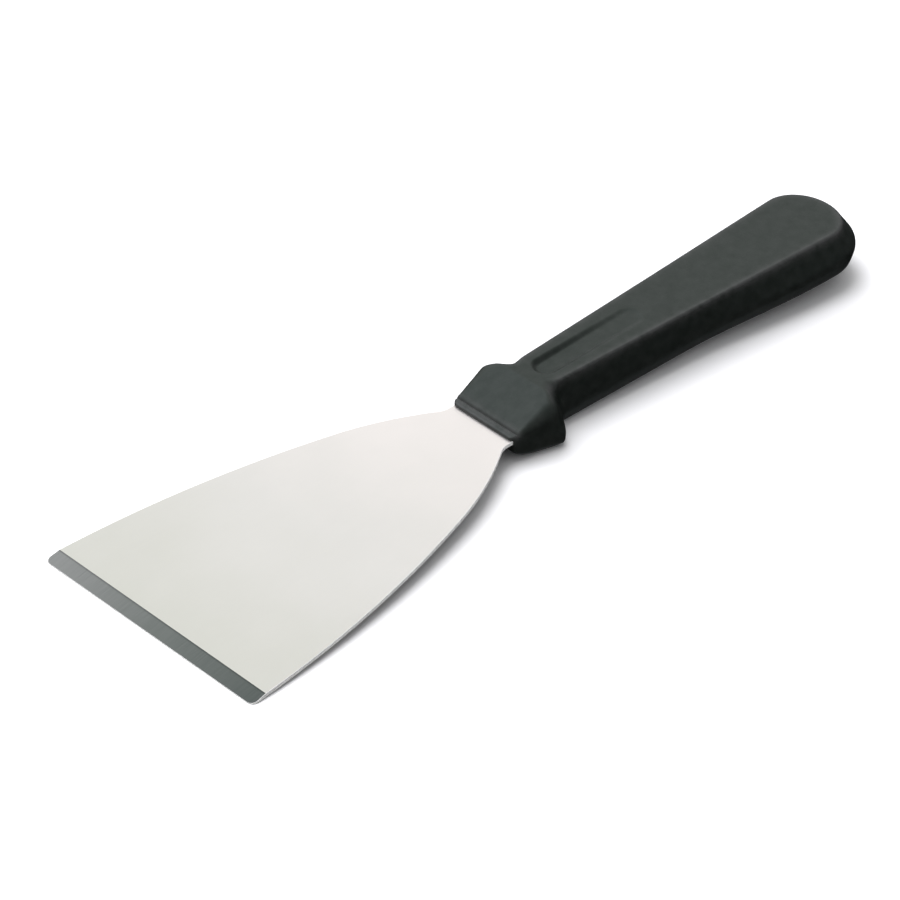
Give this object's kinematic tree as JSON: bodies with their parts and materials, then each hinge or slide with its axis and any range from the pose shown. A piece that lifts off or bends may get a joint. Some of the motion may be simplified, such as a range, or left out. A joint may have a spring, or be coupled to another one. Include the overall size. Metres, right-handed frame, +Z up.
{
  "type": "grill spatula",
  "caption": "Stiff grill spatula: flared stainless steel blade with a bevelled front edge and a hidden tang in a black moulded handle with a finger guard.",
  "frame": {"origin": "centre of the footprint, on the surface that the tool lies on", "axes": "+X along the tool from the front edge to the butt, +Y across the blade, +Z up from the surface"},
  "size_m": [0.2636, 0.0798, 0.0186],
  "materials": {
    "blade_steel": "fine satin rolled face, ground bevel along the front edge",
    "handle_plastic": "fine spark-eroded mould texture with crisp moulded edges"
  },
  "bodies": {
    "root": {"blade": "blade_steel", "handle": "handle_plastic"}
  },
  "joints": []
}
